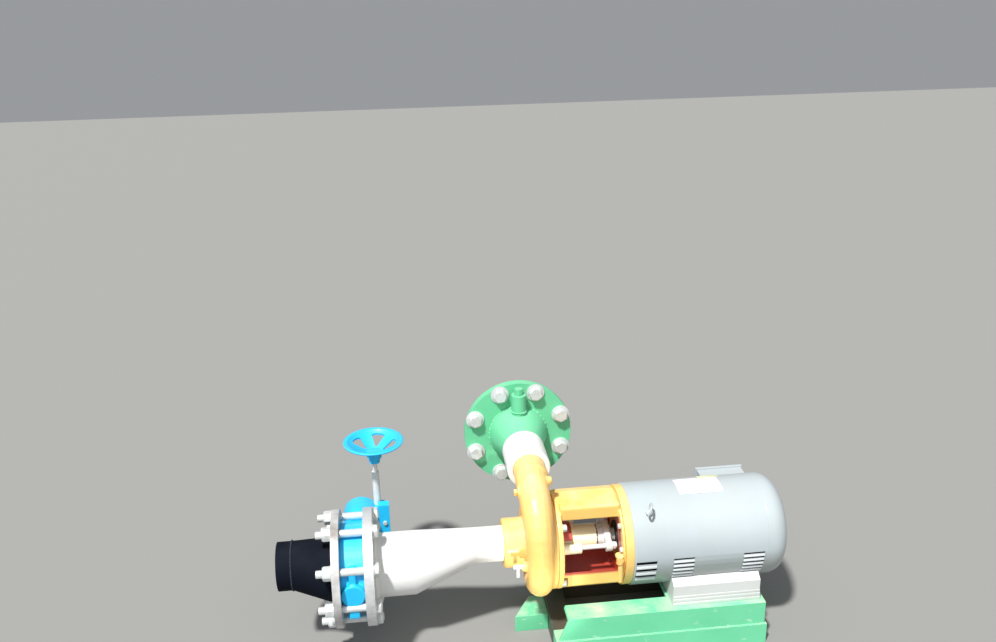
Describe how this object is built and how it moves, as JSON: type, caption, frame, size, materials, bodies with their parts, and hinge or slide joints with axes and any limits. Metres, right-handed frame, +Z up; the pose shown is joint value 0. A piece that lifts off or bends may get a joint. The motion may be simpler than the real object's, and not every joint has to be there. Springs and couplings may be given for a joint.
{
  "type": "centrifugal irrigation pump",
  "caption": "Close-coupled electric irrigation pump on a steel base, with suction reducer, hand-wheeled butterfly valve and flanged discharge increaser.",
  "frame": {"origin": "on the ground, right below the shaft axis at the volute", "axes": "+X along the shaft from the pump to the motor, +Y the way the outlet points, +Z up"},
  "size_m": [1.237, 0.4626, 0.5597],
  "materials": {
    "orange_paint": "satin",
    "motor_paint": "satin",
    "green_paint": "satin",
    "blue_paint": "satin",
    "white_paint": "satin",
    "galvanised": "matte",
    "bright_steel": "satin",
    "black_plastic": "matte",
    "black_rubber": "matte"
  },
  "bodies": {
    "pump_set": {"base_channel": "green_paint", "base_rail_front": "green_paint", "base_rail_rear": "green_paint", "base_beam_pump": "green_paint", "base_beam_motor": "green_paint", "base_toe": "green_paint", "motor_front_bell": "motor_paint", "motor_frame": "motor_paint", "motor_rear_bell": "motor_paint", "motor_nameplate": "white_paint", "lifting_eye": "motor_paint", "conduit_box": "motor_paint", "conduit_box_lid": "motor_paint", "conduit_connector": "galvanised", "motor_foot": "white_paint", "volute_casing": "orange_paint", "priming_plug": "orange_paint", "drain_cock": "bright_steel", "bracket": "orange_paint", "motor_flange_ring": "orange_paint", "stuffing_box": "orange_paint", "packing_gland": "bright_steel", "gland_stud_front": "bright_steel", "gland_stud_rear": "bright_steel", "drain_elbow": "orange_paint", "drain_tube": "orange_paint", "suction_reducer": "white_paint", "reducer_flange": "galvanised", "valve_body": "blue_paint", "valve_seat": "black_rubber", "inlet_ring": "galvanised", "inlet_stub": "black_plastic", "inlet_pipe_end": "black_plastic", "gear_housing": "blue_paint", "gear_cover": "blue_paint", "discharge_coupling": "white_paint", "discharge_cone": "green_paint", "gauge_plug": "green_paint", "discharge_flange": "green_paint"},
    "rotor": {"shaft": "bright_steel", "water_slinger": "black_rubber"},
    "valve_wheel": {"handwheel": "blue_paint", "input_shaft": "bright_steel"},
    "disc": {"valve_disc": "bright_steel"}
  },
  "joints": [
    {"name": "shaft_spin", "type": "hinge", "parent": "pump_set", "child": "rotor", "pos_m": [0.18, 0, 0.248], "axis": [1, 0, 0], "continuous": true},
    {"name": "wheel_turn", "type": "hinge", "parent": "pump_set", "child": "valve_wheel", "pos_m": [-0.371, 0.23, 0.432], "axis": [0, 0, 1], "range_deg": [0, 2160]},
    {"name": "disc_turn", "type": "hinge", "parent": "pump_set", "child": "disc", "pos_m": [-0.43, 0, 0.2148], "axis": [0, 1, 0], "range_deg": [0, 90]}
  ],
  "couplings": [
    {"joint": "disc_turn", "follows": "wheel_turn", "ratio": 0.041667}
  ]
}
